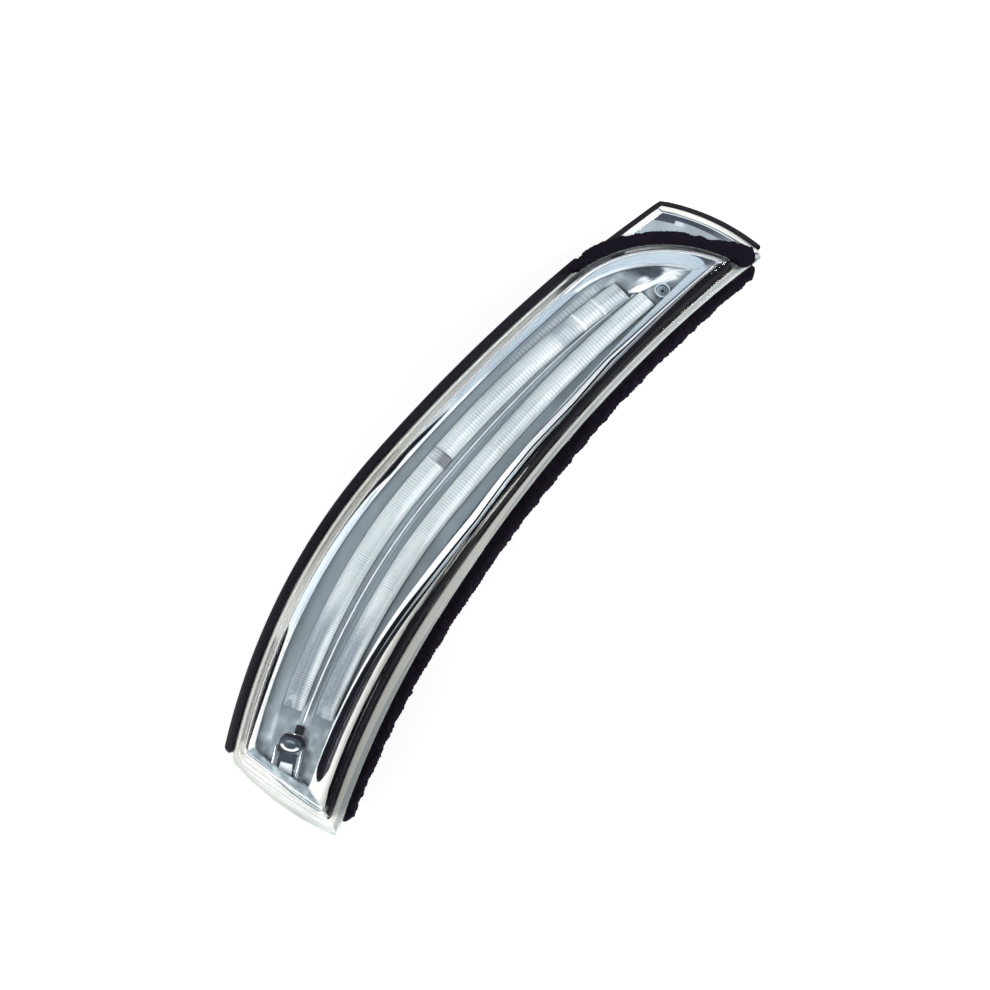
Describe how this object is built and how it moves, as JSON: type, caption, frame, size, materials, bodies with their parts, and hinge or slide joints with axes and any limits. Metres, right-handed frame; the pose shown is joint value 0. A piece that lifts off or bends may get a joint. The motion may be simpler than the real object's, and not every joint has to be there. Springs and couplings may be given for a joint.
{
  "type": "mirror turn signal lamp",
  "caption": "Curved mirror turn signal lamp: clear domed lens over ribbed light guides and a bright reflector, in a black rear housing with screw bosses and a connector socket.",
  "frame": {"origin": "middle of the four screw bosses, in the plane of their ends, where the lamp meets the mirror's frame", "axes": "+X along the lamp towards the mirror's foot, +Y across it towards the leading edge, +Z out through the lens"},
  "size_m": [0.2184, 0.061, 0.0415],
  "materials": {
    "clear_lens": "clear polished",
    "black_plastic": "fine moulded grain",
    "satin_bright": "satin bright plating",
    "bright_plating": "mirror bright plating",
    "clear_guide": "clear with fine ribs",
    "white_board": "white solder mask",
    "green_board": "green solder mask",
    "light_chip": "white body with a yellow face",
    "dark_chip": "moulded",
    "zinc_steel": "zinc plated",
    "flex_film": "amber film",
    "tinned_brass": "tinned",
    "soft_black": "smooth",
    "vent_film": "felt membrane",
    "black_foam": "open cell foam"
  },
  "bodies": {
    "root": {"outer_lens": "clear_lens", "rear_housing": "black_plastic", "bezel": "satin_bright", "reflector": "satin_bright", "light_guide_upper": "clear_guide", "light_guide_lower": "clear_guide", "turn_board": "white_board", "turn_light_chips": "light_chip", "side_tower": "bright_plating", "side_optic": "clear_guide", "side_board": "white_board", "side_light_chip": "light_chip", "driver_board": "green_board", "driver_chip": "dark_chip", "board_resistors": "dark_chip", "board_screws": "zinc_steel", "flex_strips": "flex_film", "connector_shell": "black_plastic", "connector_blades": "tinned_brass", "connector_seal": "soft_black", "breather_patch": "vent_film", "edge_seal": "soft_black", "foam_strip_side": "black_foam", "foam_strip_cross": "black_foam"}
  },
  "joints": []
}
